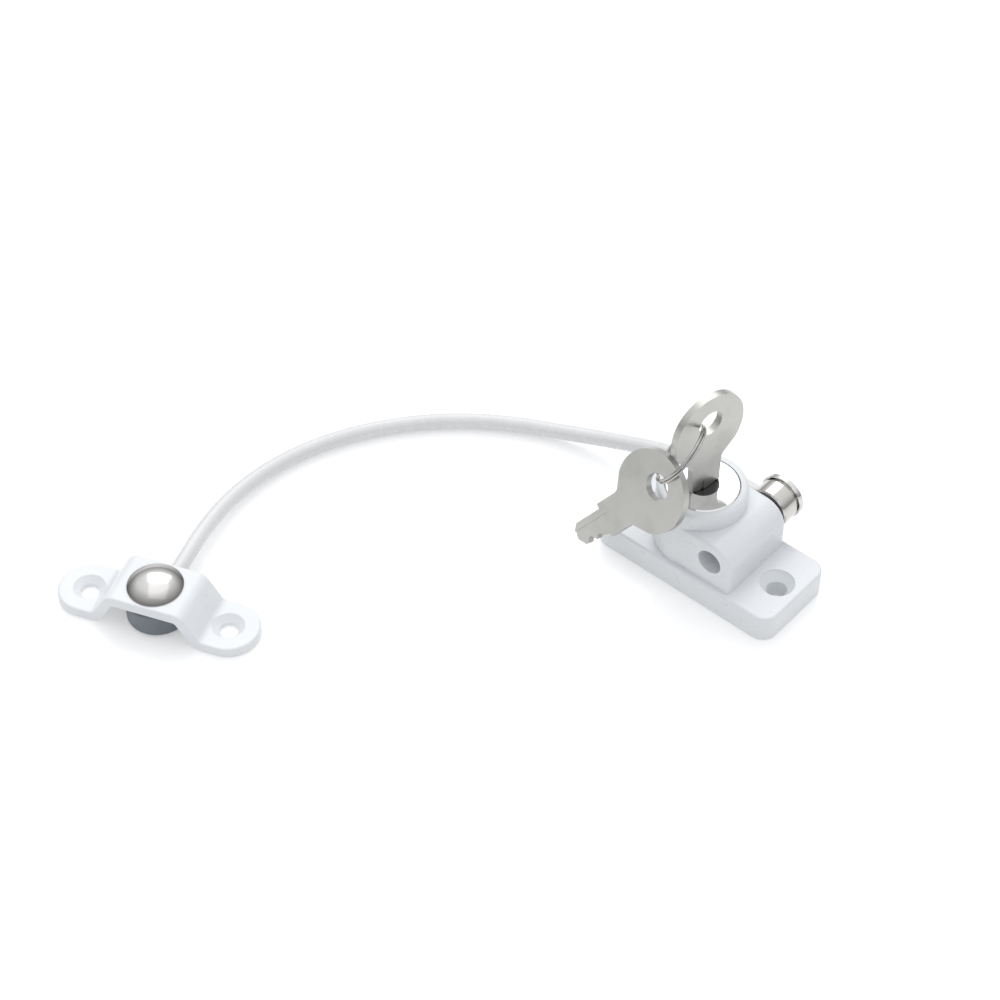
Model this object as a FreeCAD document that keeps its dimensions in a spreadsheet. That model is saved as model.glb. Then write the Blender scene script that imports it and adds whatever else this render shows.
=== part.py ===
import FreeCAD, Part
import Sketcher
import math
import os

# Window restrictor cable: a key-operated lock block, a coated steel cable with a
# plug-in connector on one end, and a swivelling riveted bracket on the other.
# Millimetres.  Frame: X along the lock plate's long side, Z up off the mounting
# face, origin midway between the two fixing holes on the plate's underside.

V = FreeCAD.Vector
doc = FreeCAD.newDocument("window_restrictor_cable")
sheet = doc.addObject("Spreadsheet::Sheet", "Sheet")

VALUES = [
    # lock block
    ("plate_len", 53.6), ("plate_wid", 24.8), ("plate_thk", 7.4), ("plate_corner", 4.0),
    ("fix_half", 20.5), ("fix_rad", 2.55), ("fix_csk_rad", 4.35), ("fix_csk_depth", 2.4),
    ("barrel_x", -3.8), ("barrel_rad", 11.3), ("barrel_top", 25.5),
    ("tunnel_x", 7.6), ("bore_z", 14.76), ("bore_rad", 3.35), ("tunnel_half", 6.4),
    ("tunnel_arch", 6.3), ("tunnel_arch_z", 14.3), ("tunnel_face", 11.1),
    ("shell_bore", 7.5), ("shell_floor", 12.0), ("flange_seat_rad", 9.35), ("flange_seat_depth", 1.3),
    ("cavity_half_x", 6.2), ("cavity_half_y", 4.3), ("cover_recess", 1.5),
    ("nose_half_y", 1.5), ("nose_top", 12.6), ("nose_floor", 9.2), ("nose_reach", 11.1),
    ("cover_x0", -15.4), ("cover_x1", 13.0), ("cover_half_y", 7.4), ("cover_gap", 0.1),
    ("screw_xa", -12.7), ("screw_xb", 10.3), ("screw_rad", 1.0), ("screw_head", 1.9), ("screw_deep", 6.2),
    ("retain_z", 18.0), ("retain_rad", 1.0),
    # cylinder
    ("shell_rad", 7.44), ("shell_low", 13.6), ("shell_seat", 24.25), ("flange_rad", 9.2), ("plug_hole", 5.05),
    ("lip_hole", 3.85), ("lip_under", 24.5),
    ("plug_rad", 5.0), ("plug_low", 12.3), ("plug_step", 24.4), ("plug_nose_rad", 3.78), ("plug_face", 25.2),
    ("clip_low", 12.85), ("clip_high", 13.45), ("clip_seat", 4.3), ("clip_rad", 6.1),
    ("keyway_half", 3.3), ("keyway_thk", 2.2), ("keyway_floor", 13.2),
    ("wafer_thk", 0.9), ("wafer_slot", 1.1), ("wafer_half", 1.9), ("wafer_slot_half", 2.0),
    ("peg_orbit", 2.12), ("peg_rad", 0.95), ("peg_low", 9.7), ("peg_in", 1.0),
    # bolt
    ("bolt_low", 9.4), ("bolt_high", 11.9), ("bolt_nose_high", 12.4), ("bolt_half_y", 4.05), ("bolt_back", 5.0),
    ("bolt_front", 5.6), ("bolt_tip", 8.6), ("bolt_nose_half", 1.2), ("bolt_travel", 3.0),
    # connector
    ("pin_rad", 3.27), ("pin_nose_y", -4.6), ("pin_groove_half", 1.6), ("pin_groove_rad", 2.25),
    ("head_y0", 12.0), ("head_y1", 17.1), ("head_rad", 5.57), ("neck_rad", 4.85), ("neck_y1", 17.65),
    ("cap_rad", 5.95), ("cap_y1", 19.35), ("cap_stub_rad", 1.5), ("cap_stub", 1.15),
    ("washer_y0", 11.35), ("washer_y1", 11.8), ("washer_in", 3.5), ("washer_out", 5.35),
    ("cable_dia", 4.1), ("cable_y", 14.8), ("core_dia", 2.5), ("ferrule_dia", 3.1), ("socket_gap", 0.06),
    # keys and ring
    ("key_thk", 1.9), ("key_bow_a", 10.4), ("key_bow_b", 11.2), ("key_bow_z", 18.0), ("key_stem", 4.4),
    ("key_hole_z", 21.0), ("key_hole", 3.5), ("key_blade", 3.1), ("key_reach", 11.0), ("key_angle", 78.0),
    ("ring_rad", 8.3), ("ring_wire", 0.38), ("ring_pitch", 0.76),
    # bracket
    ("br_x", -90.85), ("br_y", -101.33), ("br_angle", 21.37), ("br_thk", 2.5), ("br_half_len", 26.5),
    ("br_half_wid", 7.75), ("br_top", 10.1), ("br_inner_half", 8.35), ("br_slope", 60.0), ("br_hole_half", 18.65),
    ("br_hole", 2.4), ("br_csk", 4.06), ("br_rivet_hole", 3.0),
    ("eye_rad", 7.9), ("eye_low", 0.35), ("eye_high", 7.2), ("eye_bore", 3.06), ("eye_cbore", 5.2),
    ("eye_cbore_top", 1.75), ("eye_z", 4.3),
    ("rivet_rad", 3.0), ("tail_rad", 4.9), ("tail_low", 0.5), ("tail_high", 1.4), ("rivet_head_rad", 5.4),
    ("rivet_head", 0.9), ("dome_rad", 6.9), ("dome_height", 2.7), ("dome_wall", 0.6),
]
for row, (alias, value) in enumerate(VALUES, start=1):
    sheet.set("A%d" % row, alias)
    sheet.set("B%d" % row, "%g" % value)
    sheet.setAlias("B%d" % row, alias)
doc.recompute()


class Q:
    """A size: its number now and the sheet expression that gives it."""

    def __init__(self, value, text):
        self.v = float(value)
        self.e = text

    def _o(self, other):
        return other if isinstance(other, Q) else Q(other, "(%.6g)" % other)

    def __add__(self, o):
        o = self._o(o)
        return Q(self.v + o.v, "(%s + %s)" % (self.e, o.e))

    __radd__ = __add__

    def __sub__(self, o):
        o = self._o(o)
        return Q(self.v - o.v, "(%s - %s)" % (self.e, o.e))

    def __rsub__(self, o):
        o = self._o(o)
        return Q(o.v - self.v, "(%s - %s)" % (o.e, self.e))

    def __mul__(self, o):
        o = self._o(o)
        return Q(self.v * o.v, "(%s * %s)" % (self.e, o.e))

    __rmul__ = __mul__

    def __truediv__(self, o):
        o = self._o(o)
        return Q(self.v / o.v, "(%s / %s)" % (self.e, o.e))

    def __neg__(self):
        return Q(-self.v, "(0 - %s)" % self.e)


S = {alias: Q(sheet.get(alias), "Sheet.%s" % alias) for alias, _ in VALUES}


def q(x):
    return x if isinstance(x, Q) else Q(x, "%.6g" % x)


def val(name):
    return S[name].v


def bind(obj, prop, size):
    size = q(size)
    obj.setExpression(prop, size.e)


# ---------------------------------------------------------------- sketch helpers
def new_body(name):
    body = doc.addObject("PartDesign::Body", name)
    body.Label = name
    return body


def plane(body, role):
    for f in body.Origin.OriginFeatures:
        if f.Role == role:
            return f
    raise RuntimeError(role)


def new_sketch(body, role, name, offset=None, flip=False):
    """A sketch on one of the body's origin planes.  offset moves it along the plane's normal."""
    sk = body.newObject("Sketcher::SketchObject", name)
    sk.AttachmentSupport = [(plane(body, role), "")]
    sk.MapMode = "FlatFace"
    if offset is not None:
        bind(sk, ".AttachmentOffset.Base.z", offset)
    return sk


def pin_point(sk, geo, pos, x, y):
    """Fix one sketch point at (x, y), each bound to the sheet."""
    x, y = q(x), q(y)
    if abs(x.v) < 1e-9 and abs(y.v) < 1e-9:
        sk.addConstraint(Sketcher.Constraint("Coincident", geo, pos, -1, 1))
        return
    if abs(x.v) < 1e-9:
        sk.addConstraint(Sketcher.Constraint("PointOnObject", geo, pos, -2))
    else:
        i = sk.addConstraint(Sketcher.Constraint("DistanceX", -1, 1, geo, pos, x.v))
        if "Sheet" in x.e:
            sk.setExpression("Constraints[%d]" % i, x.e)
    if abs(y.v) < 1e-9:
        sk.addConstraint(Sketcher.Constraint("PointOnObject", geo, pos, -1))
    else:
        i = sk.addConstraint(Sketcher.Constraint("DistanceY", -1, 1, geo, pos, y.v))
        if "Sheet" in y.e:
            sk.setExpression("Constraints[%d]" % i, y.e)


def sk_circle(sk, x, y, r):
    x, y, r = q(x), q(y), q(r)
    g = sk.addGeometry(Part.Circle(V(x.v, y.v, 0), V(0, 0, 1), r.v), False)
    i = sk.addConstraint(Sketcher.Constraint("Radius", g, r.v))
    sk.setExpression("Constraints[%d]" % i, r.e)
    pin_point(sk, g, 3, x, y)
    return g


def sk_poly(sk, pts):
    """A closed polygon, each corner bound to the sheet."""
    pts = [(q(a), q(b)) for a, b in pts]
    n = len(pts)
    first = None
    ids = []
    for i in range(n):
        a, b = pts[i], pts[(i + 1) % n]
        ids.append(sk.addGeometry(Part.LineSegment(V(a[0].v, a[1].v, 0), V(b[0].v, b[1].v, 0)), False))
    for i in range(n):
        sk.addConstraint(Sketcher.Constraint("Coincident", ids[i], 2, ids[(i + 1) % n], 1))
    for i in range(n):
        pin_point(sk, ids[i], 1, pts[i][0], pts[i][1])
    return ids


def sk_box(sk, x0, y0, x1, y1):
    return sk_poly(sk, [(x0, y0), (x1, y0), (x1, y1), (x0, y1)])


def pad(body, sk, length, name, midplane=False, reverse=False):
    f = body.newObject("PartDesign::Pad", name)
    f.Profile = sk
    f.Length = q(length).v
    bind(f, "Length", length)
    if midplane:
        f.SideType = "Symmetric"
    if reverse:
        f.Reversed = True
    doc.recompute()
    return f


def pocket(body, sk, length, name, reverse=False, through=False, midplane=False):
    before = body.Shape.Volume
    f = body.newObject("PartDesign::Pocket", name)
    f.Profile = sk
    if through:
        f.Type = 1
        f.SideType = "Symmetric"
    else:
        f.Length = q(length).v
        bind(f, "Length", length)
        if midplane:
            f.SideType = "Symmetric"
        if reverse:
            f.Reversed = True
    doc.recompute()
    if body.Shape.Volume > before - 1e-4:
        f.Reversed = not f.Reversed
        doc.recompute()
    if body.Shape.Volume > before - 1e-4:
        raise RuntimeError("pocket cut nothing: " + name)
    return f


def revolve(body, sk, name, axis="V_Axis"):
    f = body.newObject("PartDesign::Revolution", name)
    f.Profile = sk
    f.ReferenceAxis = (sk, [axis])
    f.Angle = 360
    doc.recompute()
    return f


def groove(body, sk, name, axis="V_Axis"):
    before = body.Shape.Volume
    f = body.newObject("PartDesign::Groove", name)
    f.Profile = sk
    f.ReferenceAxis = (sk, [axis])
    f.Angle = 360
    doc.recompute()
    if body.Shape.Volume > before - 1e-4:
        raise RuntimeError("groove cut nothing: " + name)
    return f


def dress(body, kind, size, pick, name):
    """Fillet or chamfer the edges for which pick(edge) is true; skipped if it can't be built."""
    base = body.Tip
    names = ["Edge%d" % (i + 1) for i, e in enumerate(base.Shape.Edges) if pick(e)]
    if not names:
        raise RuntimeError("no edges for " + name)
    f = body.newObject("PartDesign::" + kind, name)
    f.Base = (base, names)
    prop = "Radius" if kind == "Fillet" else "Size"
    setattr(f, prop, q(size).v)
    doc.recompute()
    if "Invalid" in f.State or "Error" in f.State or f.Shape.isNull() or not f.Shape.isValid():
        print("dress failed", name, len(names))
        body.removeObject(f)
        doc.removeObject(f.Name)
        body.Tip = base
        doc.recompute()
        return None
    return f


def mid(e):
    return e.valueAt((e.FirstParameter + e.LastParameter) / 2.0)


def near(a, b, tol=0.02):
    return abs(a - b) < tol


def place(obj, x=0, y=0, z=0, yaw=None):
    """Placement bound to the sheet."""
    for axis, size in (("x", x), ("y", y), ("z", z)):
        if isinstance(size, Q) or size != 0:
            obj.setExpression(".Placement.Base." + axis, q(size).e)
    if yaw is not None:
        obj.Placement.Rotation = FreeCAD.Rotation(V(0, 0, 1), q(yaw).v)
        obj.setExpression(".Placement.Rotation.Angle", q(yaw).e)


def feature(name, shape):
    f = doc.addObject("Part::Feature", name)
    f.Label = name
    f.Shape = shape
    return f


def cyl(name, r, h, label=None):
    c = doc.addObject("Part::Cylinder", name)
    bind(c, "Radius", r)
    bind(c, "Height", h)
    if label:
        c.Label = label
    return c


bx, bz = S["barrel_x"], S["bore_z"]
PARTS = []

# ---------------------------------------------------------------- lock housing
body = new_body("lock_housing")
sk = new_sketch(body, "XY_Plane", "HousingPlateSketch")
hl, hw, cr = S["plate_len"] / 2, S["plate_wid"] / 2, S["plate_corner"]
sk_box(sk, -hl, -hw, hl, hw)
pad(body, sk, S["plate_thk"], "HousingPlate")
dress(body, "Fillet", cr, lambda e: near(abs(mid(e).x), hl.v) and near(abs(mid(e).y), hw.v), "HousingPlateCorners")
# the tunnel that the connector's pin slides through: flat top running into the barrel, rounded outer corner
sk = new_sketch(body, "XZ_Plane", "HousingTunnelSketch")
ax = S["tunnel_x"]
tx1 = ax + S["tunnel_half"]
az = S["tunnel_arch_z"]
ar = S["tunnel_arch"]
top = az + ar
l0 = sk.addGeometry(Part.LineSegment(V(bx.v, 1, 0), V(tx1.v, 1, 0)), False)
l1 = sk.addGeometry(Part.LineSegment(V(tx1.v, 1, 0), V(tx1.v, az.v, 0)), False)
cc = V(tx1.v - ar.v, az.v, 0)
arc = sk.addGeometry(Part.ArcOfCircle(Part.Circle(cc, V(0, 0, 1), ar.v), 0, math.pi / 2), False)
l2 = sk.addGeometry(Part.LineSegment(V(cc.x, top.v, 0), V(bx.v, top.v, 0)), False)
l3 = sk.addGeometry(Part.LineSegment(V(bx.v, top.v, 0), V(bx.v, 1, 0)), False)
for a, pa, b, pb in ((l0, 2, l1, 1), (l1, 2, arc, 1), (arc, 2, l2, 1), (l2, 2, l3, 1), (l3, 2, l0, 1)):
    sk.addConstraint(Sketcher.Constraint("Coincident", a, pa, b, pb))
pin_point(sk, l0, 1, bx, 1.0)
pin_point(sk, l1, 1, tx1, 1.0)
pin_point(sk, l1, 2, tx1, az)
pin_point(sk, l2, 1, tx1 - ar, top)
pin_point(sk, l3, 1, bx, top)
i = sk.addConstraint(Sketcher.Constraint("Radius", arc, ar.v))
sk.setExpression("Constraints[%d]" % i, ar.e)
pad(body, sk, S["tunnel_face"] * 2, "HousingTunnel", midplane=True)
tf = S["tunnel_face"]
# softened die-cast edges
dress(body, "Fillet", 0.9, lambda e: near(abs(mid(e).y), tf.v) and mid(e).z > S["plate_thk"].v + 0.5 and
      mid(e).x > bx.v + 0.5, "HousingTunnelEdges")
sk = new_sketch(body, "XY_Plane", "HousingBarrelSketch")
sk_circle(sk, bx, 0, S["barrel_rad"])
pad(body, sk, S["barrel_top"], "HousingBarrel")
dress(body, "Fillet", 1.1, lambda e: near(mid(e).z, S["barrel_top"].v) and len(e.Vertexes) >= 1 and
      near(math.hypot(mid(e).x - bx.v, mid(e).y), S["barrel_rad"].v, 0.05), "HousingBarrelRim")
dress(body, "Fillet", 0.7, lambda e: near(mid(e).z, S["plate_thk"].v) and
      (near(abs(mid(e).y), hw.v) or near(abs(mid(e).x), hl.v) or
       (abs(mid(e).x) > hl.v - cr.v and abs(mid(e).y) > hw.v - cr.v)), "HousingPlateTopEdge")
# countersunk fixing holes
for tag, sx in (("Left", -1), ("Right", 1)):
    sk = new_sketch(body, "XY_Plane", "HousingFixing" + tag)
    sk_circle(sk, S["fix_half"] * sx, 0, S["fix_rad"])
    pocket(body, sk, S["plate_thk"] + 1, "HousingFixingHole" + tag, reverse=True)
    sk = new_sketch(body, "XZ_Plane", "HousingSinkSketch" + tag)
    fx = S["fix_half"] * sx
    # conical seat, turned about the hole's own axis
    tk = S["plate_thk"]
    g = sk_poly(sk, [(fx, tk - S["fix_csk_depth"]), (fx + S["fix_rad"], tk - S["fix_csk_depth"]),
                     (fx + S["fix_csk_rad"], tk - 0.25), (fx + S["fix_csk_rad"], tk + 0.5), (fx, tk + 0.5)])
    before = body.Shape.Volume
    f = body.newObject("PartDesign::Groove", "HousingSink" + tag)
    f.Profile = sk
    f.ReferenceAxis = (sk, ["Edge5"])
    f.Angle = 360
    doc.recompute()
    if body.Shape.Volume > before - 1e-3:
        raise RuntimeError("countersink cut nothing")
# seat of the barrel's flange, barrel bore, mechanism cavity, cover recess
sk = new_sketch(body, "XY_Plane", "HousingFlangeSketch", offset=S["barrel_top"])
sk_circle(sk, bx, 0, S["flange_seat_rad"])
pocket(body, sk, S["flange_seat_depth"], "HousingFlangeSeat")
sk = new_sketch(body, "XY_Plane", "HousingBoreSketch", offset=S["barrel_top"])
sk_circle(sk, bx, 0, S["shell_bore"])
pocket(body, sk, S["barrel_top"] - S["shell_floor"], "HousingBarrelBore")
sk = new_sketch(body, "XY_Plane", "HousingCavitySketch")
sk_box(sk, bx - S["cavity_half_x"], -S["cavity_half_y"], bx + S["cavity_half_x"], S["cavity_half_y"])
pocket(body, sk, S["shell_floor"] + 0.2, "HousingCavity", reverse=True)
sk = new_sketch(body, "XY_Plane", "HousingNoseSketch", offset=S["nose_floor"])
sk_box(sk, bx + 5.5, -S["nose_half_y"], S["nose_reach"] - 1.0, S["nose_half_y"])
pocket(body, sk, S["nose_top"] - S["nose_floor"], "HousingBoltChannel", reverse=True)
sk = new_sketch(body, "XY_Plane", "HousingCoverSketch")
sk_box(sk, S["cover_x0"], -S["cover_half_y"], S["cover_x1"], S["cover_half_y"])
pocket(body, sk, S["cover_recess"], "HousingCoverRecess", reverse=True)
sk = new_sketch(body, "XY_Plane", "HousingScrewSketch")
sk_circle(sk, S["screw_xa"], 0, S["screw_rad"])
sk_circle(sk, S["screw_xb"], 0, S["screw_rad"])
pocket(body, sk, S["screw_deep"], "HousingScrewHoles", reverse=True)
# connector bore, right through
sk = new_sketch(body, "XZ_Plane", "HousingConnectorSketch")
sk_circle(sk, ax, bz, S["bore_rad"])
pocket(body, sk, S["tunnel_face"] * 2 + 4, "HousingConnectorBore", midplane=True)
# radial hole for the barrel's retaining pin
sk = new_sketch(body, "XZ_Plane", "HousingRetainSketch")
sk_circle(sk, bx, S["retain_z"], S["retain_rad"])
f = pocket(body, sk, S["barrel_rad"] + 1, "HousingRetainHole", reverse=True)
if f.Shape.isInside(V(bx.v, 10.0, S["retain_z"].v), 1e-3, True):
    f.Reversed = not f.Reversed
    doc.recompute()
PARTS.append(body)

# ---------------------------------------------------------------- base cover and its screws
body = new_body("base_cover")
sk = new_sketch(body, "XY_Plane", "CoverSketch")
g_ = S["cover_gap"]
sk_box(sk, S["cover_x0"] + g_, -S["cover_half_y"] + g_, S["cover_x1"] - g_, S["cover_half_y"] - g_)
pad(body, sk, S["cover_recess"], "CoverPlate")
dress(body, "Fillet", 0.5, lambda e: near(abs(mid(e).y), (S["cover_half_y"] - g_).v) and near(mid(e).z, S["cover_recess"].v / 2), "CoverCorners")
for tag, sx in (("A", S["screw_xa"]), ("B", S["screw_xb"])):
    sk = new_sketch(body, "XZ_Plane", "CoverSink" + tag)
    sk_poly(sk, [(sx, -0.1), (sx + S["screw_head"] + 0.1, -0.1), (sx + S["screw_head"] + 0.1, 0.0 + 0.12),
                 (sx + S["screw_rad"] + 0.1, 1.02), (sx + S["screw_rad"] + 0.1, 1.6), (sx, 1.6)])
    f = body.newObject("PartDesign::Groove", "CoverSinkCut" + tag)
    f.Profile = sk
    f.ReferenceAxis = (sk, ["Edge6"])
    f.Angle = 360
    doc.recompute()
PARTS.append(body)


def screw_solid(x):
    """Small countersunk screw standing nose-up in its hole, cross recess in the head."""
    r, hr = val("screw_rad"), val("screw_head")
    pts = [V(0, 0, 0), V(hr, 0, 0), V(hr, 0, 0.12), V(r - 0.03, 0, 1.0), V(r - 0.03, 0, 5.0), V(0.35, 0, 5.9), V(0, 0, 5.9), V(0, 0, 0)]
    s = Part.Face(Part.makePolygon(pts)).revolve(V(0, 0, 0), V(0, 0, 1), 360)
    for a in (0, 90):
        slot = Part.makeBox(2.0, 0.42, 0.7, V(-1.0, -0.21, -0.01))
        slot.rotate(V(0, 0, 0), V(0, 0, 1), a)
        s = s.cut(slot)
    s.translate(V(x, 0, 0))
    return s


PARTS.append(feature("cover_screws", Part.Compound([screw_solid(val("screw_xa")), screw_solid(val("screw_xb"))])))

# moulded keeper that carries the bolt from below
keeper = doc.addObject("Part::Box", "bolt_keeper")
keeper.Label = "bolt_keeper"
bind(keeper, "Length", S["cavity_half_x"] * 2 - 0.3)
bind(keeper, "Width", S["cavity_half_y"] * 2 - 0.3)
bind(keeper, "Height", S["nose_floor"] - S["cover_recess"])
place(keeper, bx - S["cavity_half_x"] + 0.15, -S["cavity_half_y"] + 0.15, S["cover_recess"])
PARTS.append(keeper)

# ---------------------------------------------------------------- lock barrel shell (fixed) and its pin
body = new_body("lock_barrel_shell")
sk = new_sketch(body, "XZ_Plane", "ShellSketch")
fr = S["flange_rad"]
tp = S["barrel_top"]
sk_poly(sk, [(S["plug_hole"], S["shell_low"]), (S["shell_rad"], S["shell_low"]), (S["shell_rad"], S["shell_seat"]),
             (fr, S["shell_seat"]), (fr, tp - 0.25), (fr - 0.3, tp), (S["lip_hole"] + 0.25, tp), (S["lip_hole"], tp - 0.25),
             (S["lip_hole"], S["lip_under"]), (S["plug_hole"], S["lip_under"])])
revolve(body, sk, "ShellTurned")
# channels that the wafers would drop into
sk = new_sketch(body, "XY_Plane", "ShellChannelSketch", offset=S["shell_low"])
sk_box(sk, -6.4, -S["wafer_slot_half"] - 0.1, 6.4, S["wafer_slot_half"] + 0.1)
pocket(body, sk, 10.2, "ShellChannels", reverse=True)
# hole for the retaining pin, on the side facing +Y once placed
sk = new_sketch(body, "XZ_Plane", "ShellPinSketch")
place(body, bx, 0, 0, S["key_angle"])
PARTS.append(body)
shell_body = body
body.removeObject(sk)
doc.removeObject(sk.Name)
doc.recompute()
# the pin stops in a shallow flat of the housing wall, against the shell's outside
pin = cyl("BarrelPinRod", S["retain_rad"] - 0.01, S["barrel_rad"] - S["shell_rad"] - 0.25, "barrel_retaining_pin")
pin.Placement = FreeCAD.Placement(V(0, 0, 0), FreeCAD.Rotation(V(1, 0, 0), -90))
place(pin, bx, S["shell_rad"] + 0.05, S["retain_z"])
PARTS.append(pin)

# ---------------------------------------------------------------- cylinder plug
body = new_body("plug_core")
sk = new_sketch(body, "XZ_Plane", "PlugSketch")
pr = S["plug_rad"]
sk_poly(sk, [(0, S["plug_low"]), (S["clip_seat"], S["plug_low"]), (S["clip_seat"] + 0.4, S["plug_low"]), (S["clip_seat"] + 0.4, S["clip_low"] - 0.05),
             (S["clip_seat"], S["clip_low"] - 0.05), (S["clip_seat"], S["clip_high"] + 0.05), (pr, S["clip_high"] + 0.05),
             (pr, S["plug_step"]), (S["plug_nose_rad"], S["plug_step"]), (S["plug_nose_rad"], S["plug_face"]),
             (S["plug_nose_rad"] - 0.35, S["plug_face"]), (1.2, S["plug_face"] - 0.6), (0, S["plug_face"] - 0.6)])
revolve(body, sk, "PlugTurned")
sk = new_sketch(body, "XY_Plane", "PlugKeywaySketch", offset=S["plug_face"] + 1)
kt = S["keyway_thk"] / 2
sk_box(sk, -S["keyway_half"], -kt, S["keyway_half"], kt)
pocket(body, sk, S["plug_face"] + 1 - S["keyway_floor"], "PlugKeyway")
WAFER_Z = [15.2, 17.5, 19.8, 22.1]
sk = new_sketch(body, "YZ_Plane", "PlugSlotSketch")
for wz in WAFER_Z:
    sk_box(sk, -S["wafer_slot_half"], wz - S["wafer_slot"] / 2, S["wafer_slot_half"], wz + S["wafer_slot"] / 2)
pocket(body, sk, 11.0, "PlugWaferSlots", midplane=True)
# seat of the drive pin, eccentric, at 225 degrees in the frame of the lock
pa = math.radians(225.0 - val("key_angle"))
sk = new_sketch(body, "XY_Plane", "PlugPegSketch", offset=S["plug_low"])
sk_circle(sk, S["peg_orbit"] * math.cos(pa), S["peg_orbit"] * math.sin(pa), S["peg_rad"])
pocket(body, sk, 0.8, "PlugPegSeat", reverse=True)
place(body, bx, 0, 0, S["key_angle"])
PARTS.append(body)

ka = math.radians(val("key_angle"))
peg = cyl("DrivePegRod", S["peg_rad"] - 0.01, S["plug_low"] + 0.78 - S["peg_low"], "drive_pin")
place(peg, bx + S["peg_orbit"] * math.cos(math.radians(225)), S["peg_orbit"] * math.sin(math.radians(225)), S["peg_low"])
PARTS.append(peg)


def local(x, y, z):
    """A point given across the key (x), through it (y) and up, in the lock's frame."""
    return V(val("barrel_x") + x * math.cos(ka) - y * math.sin(ka), x * math.sin(ka) + y * math.cos(ka), z)


def key_frame(shape):
    shape.rotate(V(0, 0, 0), V(0, 0, 1), val("key_angle"))
    shape.translate(V(val("barrel_x"), 0, 0))
    return shape


wafers, springs = [], []
wt, wh = val("wafer_thk"), val("wafer_half")
for i, wz in enumerate(WAFER_Z):
    plate = Part.makeBox(8.4, 2 * wh, wt, V(-4.5, -wh, wz - wt / 2))
    round_ = Part.makeCylinder(4.85, wt, V(0, 0, wz - wt / 2))
    plate = plate.common(round_)
    window = Part.makeBox(6.6 + 0.1 * (i % 2), 2.3, wt + 1, V(-3.3, -1.15, wz - wt / 2 - 0.5))
    wafers.append(key_frame(plate.cut(window)))
    # a short coil spring lies in the end of the slot and loads the wafer
    springs.append(key_frame(Part.makeCylinder(0.42, 0.8, V(3.95, -1.2, wz), V(1, 0, 0))))
PARTS.append(feature("wafer_tumblers", Part.Compound(wafers)))
PARTS.append(feature("wafer_springs", Part.Compound(springs)))

clip = Part.makeCylinder(val("clip_rad"), val("clip_high") - val("clip_low"), V(0, 0, val("clip_low")))
clip = clip.cut(Part.makeCylinder(val("clip_seat") + 0.03, 3, V(0, 0, val("clip_low") - 1)))
clip = clip.cut(Part.makeBox(8, 5.6, 3, V(0, -2.8, val("clip_low") - 1)))
PARTS.append(feature("plug_circlip", key_frame(clip)))

# ---------------------------------------------------------------- locking bolt, drawn back
body = new_body("locking_bolt")
sk = new_sketch(body, "XY_Plane", "BoltSketch", offset=S["bolt_low"])
nh = S["bolt_nose_half"]
sk_poly(sk, [(-S["bolt_back"], -S["bolt_half_y"]), (S["bolt_front"] - 2.6, -S["bolt_half_y"]), (S["bolt_front"] - 2.6, -nh), (S["bolt_tip"], -nh),
             (S["bolt_tip"], nh), (S["bolt_front"] - 2.6, nh), (S["bolt_front"] - 2.6, S["bolt_half_y"]), (-S["bolt_back"], S["bolt_half_y"])])
pad(body, sk, S["bolt_high"] - S["bolt_low"], "BoltPlate")
sk = new_sketch(body, "XY_Plane", "BoltNoseSketch", offset=S["bolt_low"])
sk_box(sk, S["bolt_front"], -nh, S["bolt_tip"], nh)
pad(body, sk, S["bolt_nose_high"] - S["bolt_low"], "BoltNose")
sk = new_sketch(body, "XY_Plane", "BoltSlotSketch", offset=S["bolt_low"] - 0.5)
px = S["peg_orbit"] * math.cos(math.radians(225))
sw = S["peg_rad"] + 0.18
sk_box(sk, px - sw, -3.4, px + sw, 0.2)
pocket(body, sk, 4.0, "BoltSlot", reverse=True)
place(body, bx, 0, 0)
PARTS.append(body)

# ---------------------------------------------------------------- keys
def key_profile(sk):
    """Outline of the key across (x) and along (y): blade tip down, bow up."""
    a, b, zc, s_, bl, rc = (S["key_bow_a"], S["key_bow_b"], S["key_bow_z"], S["key_stem"], S["key_blade"], S["key_reach"])
    return a, b, zc, s_, bl, rc


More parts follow.
